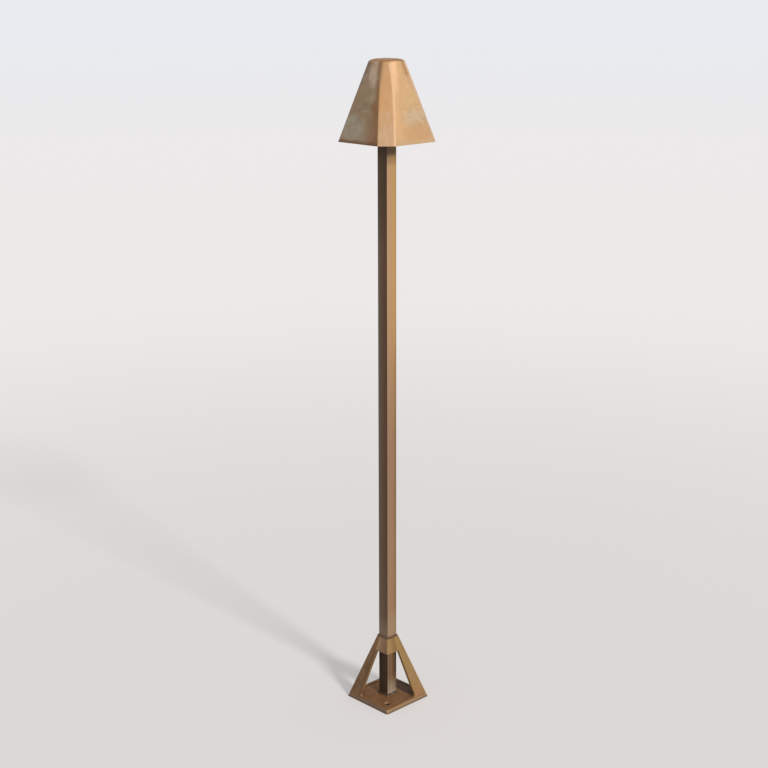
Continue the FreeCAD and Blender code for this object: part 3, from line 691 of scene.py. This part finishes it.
sharpTurn = math.radians(40)  # edges that turn more stay crisp


def addPiece(name, points, faces, finish, body, stands=(), hollow=()):
    mesh = bpy.data.meshes.new(name)
    mesh.from_pydata(points, [], faces + list(hollow))
    shape = bmesh.new()
    shape.from_mesh(mesh)
    bmesh.ops.recalc_face_normals(shape, faces=shape.faces)
    # walls of an inner hollow look inwards
    bmesh.ops.reverse_faces(shape, faces=list(shape.faces)[len(faces):])
    shape.to_mesh(mesh)
    shape.free()
    for face in mesh.polygons:
        face.use_smooth = True
    mesh.set_sharp_from_angle(angle=sharpTurn)
    mesh.materials.append(finish)
    piece = bpy.data.objects.new(name, mesh)
    scene.collection.objects.link(piece)
    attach(piece, body)
    for node in stands:
        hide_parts(node)


# faces between rings of points, the last ring joined to the first where the loop is closed
def ringFaces(rings, size, closed):
    faces = []
    for i in range(rings if closed else rings - 1):
        here, there = i * size, (i + 1) % rings * size
        for j in range(size):
            after = (j + 1) % size
            faces.append((here + j, here + after, there + after, there + j))
    return faces


# flat ends over the first and the last ring
def endFaces(rings, size):
    return [tuple(range(first, first + size)) for first in (0, (rings - 1) * size)]


# distance and height of the hood's skin from foot to crown: over a face, or over a flattened corner
def skinProfile(shape, corner, inset, bend, ease):
    tall = hoodHigh[2] - hoodLow[2]
    reach = []
    for size, fold in zip((1.0, shape["topShare"]), shape["foldShare"]):
        half = hoodHigh[0] * size
        reach.append(half * (1.0 + fold) / math.sqrt(2) if corner else half)
    slope = (reach[0] - reach[1]) / tall
    lean, tilt = math.hypot(1.0, slope), math.atan(slope)
    middle = hoodHigh[2] - inset - bend
    bendFoot = middle + bend * math.sin(tilt)
    profile = []
    for i in range(shape["rows"] + 1):
        share = i / shape["rows"]
        height = (bendFoot - hoodLow[2]) * share
        swell = 0.0 if corner or inset else hoodSwell(shape, share)
        profile.append((reach[0] - slope * height - inset * lean + swell, hoodLow[2] + height))
    centre = reach[1] + slope * (hoodHigh[2] - middle) - (inset + bend) * lean
    for i in range(1, shape["bend"] + 1):
        angle = tilt + (math.pi / 2 - ease - tilt) * i / shape["bend"]
        profile.append((centre + bend * math.cos(angle), middle + bend * math.sin(angle)))
    return profile


# ring of points round an eight-sided section, its folds rounded
def foldedRing(shape, face, corner, fold):
    arms = [face, corner] * 4
    steps = shape["foldSteps"]
    bends = []
    for k in range(8):
        here, there = arms[k], arms[(k + 1) % 8]
        turn = Matrix.Rotation(math.radians(45 * k), 2)
        middle = Vector((here[0] - fold, (there[0] - fold) * math.sqrt(2) - (here[0] - fold)))
        bend = []
        for i in range(steps + 1):
            angle = math.radians(45 * i / steps)
            spot = turn @ (middle + fold * Vector((math.cos(angle), math.sin(angle))))
            bend.append(Vector((spot.x, spot.y, here[1] + (there[1] - here[1]) * i / steps)))
        bends.append(bend)
    ring = []
    for bend, following in zip(bends, bends[1:] + bends[:1]):
        start, end = bend[-1], following[0]
        ring += bend + [start.lerp(end, share) for share in shape["faceSteps"]]
    return ring


def hoodSkin(shape):
    rings = []
    inner = (shape["wall"], shape["ceilingRound"], 0.0, 0.0)
    outer = (0.0, shape["topRound"], math.radians(shape["crownEase"]), shape["dome"])
    low, high = shape["foldRound"]
    for inset, bend, ease, dome in (inner, outer):
        faceLine = skinProfile(shape, False, inset, bend, ease)
        cornerLine = skinProfile(shape, True, inset, bend, ease)
        side = []
        for i, (face, corner) in enumerate(zip(faceLine, cornerLine)):
            share = min(1.0, i / shape["rows"])
            fold = low + (high - low) * share * share - inset
            widest = shape["foldLimit"] * (face[0] * math.sqrt(2) - corner[0])
            side.append(foldedRing(shape, face, corner, min(fold, widest)))
        brim = side[-1]
        for size in shape["crownRings"]:
            lift = dome * (1.0 - size ** shape["domePower"])
            side.append([Vector((spot.x * size, spot.y * size, spot.z + lift)) for spot in brim])
        rings += side[::-1] if inset else side
    around = len(rings[0])
    points = [tuple(spot) for ring in rings for spot in ring]
    faces = ringFaces(len(rings), around, False)
    # the innermost rings close on a middle point
    for first in (0, len(points) - around):
        points.append((0.0, 0.0, points[first][2]))
        faces += [(first + j, first + (j + 1) % around, len(points) - 1) for j in range(around)]
    addPiece("hoodSkin", points, faces, finishes["hood_brass"], "hood", ["shade_hood"])


hoodSkin(hoodShape)
print("hood skin formed")

# Brazed seams: uneven beads round the post's foot and the collar's mouth
seamLook = {
    "bright": tint(0.66, 0.60, 0.53),
    "brown": tint(0.50, 0.36, 0.22),
    "scale": 420.0,
    "relief": 0.0002,
    "post": postHigh[0],
    "corner": 0.001,
    "perSide": 26,
    "perCorner": 7,
    # section as shares of the width and the height, and waves as (depth, count, start)
    "profile": [
        (-0.08, 1.0), (0.16, 0.93), (0.38, 0.80), (0.62, 0.62), (0.82, 0.38), (0.95, 0.16), (1.0, 0.0),
        (0.9, -0.08), (-0.08, -0.08),
    ],
    "waves": [(0.09, 7, 1.3), (0.06, 17, 0.0), (0.05, 41, 0.0)],
    # the foot bead is darker: dark braze, and partly painted shade where the post meets the plate
    "foot": {
        "light": tint(0.34, 0.25, 0.155), "dark": tint(0.17, 0.12, 0.075),
        "height": 0.0040, "width": 0.0020, "level": plateTop, "sunGlint": 0.15, "brownTo": 0.45,
    },
    "mouth": {
        "light": tint(0.51, 0.39, 0.285), "dark": tint(0.26, 0.17, 0.075),
        "height": 0.0022, "width": 0.0027, "level": castHigh[2] - 0.0001, "sunGlint": 0.0, "brownTo": 0.0,
    },
}


# points and outward directions round a square with soft corners
def squarePath(half, corner, perSide, perCorner):
    path = []
    flat = half - corner
    for quarter in range(4):
        turn = Matrix.Rotation(math.radians(90 * quarter), 2)
        steps = [((half, -flat + 2 * flat * i / perSide), (1.0, 0.0)) for i in range(perSide)]
        for i in range(perCorner):
            angle = math.radians(90 * i / perCorner)
            way = (math.cos(angle), math.sin(angle))
            steps.append(((flat + corner * way[0], flat + corner * way[1]), way))
        path += [(turn @ Vector(place), turn @ Vector(way)) for place, way in steps]
    return path


# dark braze, brown where it spreads, with a painted highlight on the sunny side
def brazeFinish(name, look, seam):
    web = Finish(name, Metallic=0.3)
    clouds = web.cloud(web.place, look["scale"], 4.0, 0.6)
    colour = web.blend(web.step(clouds, 0.4, 0.65), seam["dark"], seam["light"])
    rise = (web.z - seam["level"]) / seam["height"]
    spread = web.step(rise + 0.2 * (clouds - 0.5), seam["brownTo"], seam["brownTo"] - 0.25)
    colour = web.blend(spread, colour, look["brown"])
    glintPart = web.step(web.nx, 0.15, 0.55) * web.step(clouds, 0.35, 0.6)
    colour = web.wash(glintPart, colour, (seam["sunGlint"], look["bright"]))
    web.feed(colour=colour, rough=0.5 + 0.2 * clouds)
    web.emboss(look["relief"] * clouds, 0.7)
    return web.material


def brazeSeam(name, look, seam):
    points = []
    path = squarePath(look["post"], look["corner"], look["perSide"], look["perCorner"])
    for i, (place, way) in enumerate(path):
        turn = 2 * math.pi * i / len(path)
        swell = 1.0 + sum(depth * math.sin(count * turn + start) for depth, count, start in look["waves"])
        for out, up in look["profile"]:
            spot = place + way * (out * seam["width"] * (swell if out > 0 else 1.0))
            height = up * seam["height"] * (swell if up > 0 else 1.0)
            points.append((spot.x, spot.y, seam["level"] + height))
    faces = ringFaces(len(path), len(look["profile"]), True)
    addPiece(name, points, faces, brazeFinish(name + "Braze", look, seam), "stand")


brazeSeam("footSeam", seamLook, seamLook["foot"])
brazeSeam("mouthSeam", seamLook, seamLook["mouth"])
print("seams brazed")

# Lamp coil: a fine helix between the lead wires
wireLow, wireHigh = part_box("lamp_filament")
coilLook = {
    "middle": (wireLow[2] + wireHigh[2]) / 2,
    "reach": wireHigh[1],
    "radius": 0.00042,
    "wire": 0.00007,
    "turns": 11,
    "perTurn": 14,
    "sides": 6,
}


def windCoil(look):
    points = []
    steps = look["turns"] * look["perTurn"]
    for i in range(steps + 1):
        turn = 2 * math.pi * look["turns"] * i / steps
        along = look["reach"] * (2 * i / steps - 1)
        out = Vector((math.cos(turn), 0.0, math.sin(turn)))
        for j in range(look["sides"]):
            lean = 2 * math.pi * j / look["sides"]
            spot = out * (look["radius"] + look["wire"] * math.cos(lean))
            points.append((spot.x, along + look["wire"] * math.sin(lean), look["middle"] + spot.z))
    faces = ringFaces(steps + 1, look["sides"], False) + endFaces(steps + 1, look["sides"])
    addPiece("lampCoil", points, faces, finishes["lamp_wire"], "lamp", ["lamp_filament"])


windCoil(coilLook)
print("coil wound")

# Lamp glass: a blown bulb over a flat pinch, hollow inside
glassLook = {
    "pinch": (0.0018, 0.0042),
    "pinchHeight": 0.0072,
    "pinchRows": (0.0, 0.5, 1.0),
    "pinchSquare": 5,  # 2 is round, and more is squarer
    "shoulder": 0.0034,
    "shoulderRows": 8,
    "dome": 0.0050,
    "domeTurns": (9, 18, 27, 36, 45, 54, 63, 72, 81, 87),
    "tip": 0.0004,
    "floorRings": (0.2, 0.6, 0.9, 1.0),
    "wall": 0.0009,
    "sides": 40,
}


def blowGlass(look):
    low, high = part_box("lamp_capsule")
    foot, top, radius, sides = low[2], high[2], high[0], look["sides"]
    domeFoot = top - look["dome"]
    shoulderFoot = foot + look["pinchHeight"]
    pinchSquare, rows = look["pinchSquare"], look["shoulderRows"]

    def ring(height, wide, deep, square):
        spots = []
        for i in range(sides):
            turn = 2 * math.pi * i / sides
            spot = [math.copysign(abs(c) ** (2 / square), c) for c in (math.cos(turn), math.sin(turn))]
            spots.append((wide * spot[0], deep * spot[1], height))
        return spots

    def roundRing(height, size):
        return ring(height, size, size, 2)

    def dome(size, tall):
        turns = [math.radians(turn) for turn in look["domeTurns"]]
        return [roundRing(domeFoot + tall * math.sin(turn), size * math.cos(turn)) for turn in turns]

    outside = []
    for share in look["pinchRows"]:
        outside.append(ring(foot + share * look["pinchHeight"], *look["pinch"], pinchSquare))
    for i in range(1, rows + 1):
        share = (1 - math.cos(math.pi * i / rows)) / 2
        wide, deep = [start + (radius - start) * share for start in look["pinch"]]
        height = shoulderFoot + look["shoulder"] * i / rows
        outside.append(ring(height, wide, deep, pinchSquare - (pinchSquare - 2) * share))
    outside += [roundRing(domeFoot, radius)] + dome(radius, look["dome"])
    bore = radius - look["wall"]
    floor = shoulderFoot + look["shoulder"] + look["tip"]
    inside = [roundRing(floor - look["tip"] * (1 - size), bore * size) for size in look["floorRings"]]
    inside += [roundRing(domeFoot, bore)] + dome(bore, look["dome"] - look["wall"])
    faces, walls = [ringFaces(len(loops), sides, False) + endFaces(len(loops), sides)
                    for loops in (outside, inside)]
    hollow = [tuple(corner + len(outside) * sides for corner in wall) for wall in walls]
    points = [spot for loop in outside + inside for spot in loop]
    addPiece("lampBulb", points, faces, finishes["lamp_glass"], "lamp",
             ["lamp_capsule"], hollow)


blowGlass(glassLook)
print("bulb blown")

# Studio: a wide pale floor, a soft sun from the right, and an even pale surround
studio = {
    "floorSize": 400.0,
    "floorLevel": -0.0003,
    "floorNear": tint(0.90, 0.885, 0.875),
    "floorMid": tint(0.915, 0.905, 0.91),
    "floorMidFrom": (0.6, 6.0),
    "floorFar": tint(0.92, 0.935, 0.965),
    "floorFarFrom": (5.0, 40.0),
    "floorMottle": (0.02, 3.0),
    "glowNear": tint(1.0, 0.98, 0.975),
    "glowFar": tint(0.97, 0.985, 1.0),
    "glowFarFrom": (1.0, 20.0),
    "lift": (0.25, 0.57),
    "liftFrom": (0.5, 3.0),
    "sunFrom": 83.0,
    "sunHeight": 33.0,
    "sunSpread": 10.0,
    "sunStrength": 2.05,
    "sunColour": (1.0, 0.97, 0.93),
    "surround": 0.45,
    "surroundTint": (0.98, 1.0, 1.04),
    "backdrop": tint(0.925, 0.93, 0.945),
}


def layFloor(setting):
    mesh = bpy.data.meshes.new("studioFloor")
    half, level = setting["floorSize"] / 2, setting["floorLevel"]
    corners = [(x * half, y * half, level) for x, y in ((-1, -1), (1, -1), (1, 1), (-1, 1))]
    mesh.from_pydata(corners, [], [(0, 1, 2, 3)])
    floor = bpy.data.objects.new("studioFloor", mesh)
    scene.collection.objects.link(floor)
    web = Finish("paleFloor", **{"Roughness": 0.95, "Specular IOR Level": 0.0})
    out = web.node("ShaderNodeVectorMath", {"operation": "LENGTH"}, {0: web.place}, "Value")
    pale = web.blend(web.step(out, *setting["floorMidFrom"]), setting["floorNear"], setting["floorMid"])
    pale = web.blend(web.step(out, *setting["floorFarFrom"]), pale, setting["floorFar"])
    mottleShare, mottleScale = setting["floorMottle"]
    mottle = web.cloud(web.place, mottleScale, 3.0)
    web.feed(colour=web.wash(mottle, pale, (mottleShare, setting["floorFar"])))
    # the camera and the metal see the floor a little paler than it lights the lantern
    near, far = setting["lift"]
    share = web.seen() * (near + (far - near) * web.step(out, *setting["liftFrom"]))
    glowColour = web.blend(web.step(out, *setting["glowFarFrom"]), setting["glowNear"], setting["glowFar"])
    glow = web.node("ShaderNodeEmission", None, {"Color": glowColour})
    both = web.node("ShaderNodeMixShader", None, {0: share, 1: Strand(web, web.shader, 0), 2: glow})
    web.tree.links.new(both.socket, web.tree.nodes["Material Output"].inputs["Surface"])
    mesh.materials.append(web.material)


def hangSun(setting):
    lamp = bpy.data.lights.new("softSun", "SUN")
    lamp.energy = setting["sunStrength"]
    lamp.angle = math.radians(setting["sunSpread"])
    lamp.color = setting["sunColour"]
    sun = bpy.data.objects.new("softSun", lamp)
    scene.collection.objects.link(sun)
    turn, lift = math.radians(setting["sunFrom"]), math.radians(setting["sunHeight"])
    back = Vector((math.sin(turn) * math.cos(lift), -math.cos(turn) * math.cos(lift), math.sin(lift)))
    sun.rotation_mode = "QUATERNION"
    sun.rotation_quaternion = (-back).to_track_quat("-Z", "Y")


def lightSurround(setting):
    world = bpy.data.worlds.new("paleStudio")
    scene.world = world
    world.use_nodes = True
    web = Web(world.node_tree)
    even = [setting["surround"] * channel for channel in setting["surroundTint"]]
    colour = web.blend(web.seen(), (*even, 1.0), setting["backdrop"])
    web.tree.links.new(colour.socket, world.node_tree.nodes["Background"].inputs["Color"])


layFloor(studio)
hangSun(studio)
lightSurround(studio)
print("studio lit")

# Camera at the photograph's place, its angles in degrees and its lens in millimetres
cameraPlace = {
    "location": (1.5858, -1.5421, 1.146),
    "turn": 45.93,
    "pitch": 74.36,
    "roll": -0.13,
    "lens": 70.22,
    "sensor": 36.0,
    "nearest": 0.05,
    "farthest": 600.0,
}


def placeCamera(place):
    data = bpy.data.cameras.new("photoCamera")
    data.lens = place["lens"]
    data.sensor_width = place["sensor"]
    data.clip_start = place["nearest"]
    data.clip_end = place["farthest"]
    camera = bpy.data.objects.new("photoCamera", data)
    scene.collection.objects.link(camera)
    aim = Matrix.Rotation(math.radians(place["turn"]), 4, "Z")
    aim = aim @ Matrix.Rotation(math.radians(place["pitch"]), 4, "X")
    aim = aim @ Matrix.Rotation(math.radians(place["roll"]), 4, "Z")
    camera.matrix_world = Matrix.Translation(place["location"]) @ aim
    scene.camera = camera


placeCamera(cameraPlace)

print("lantern ready")
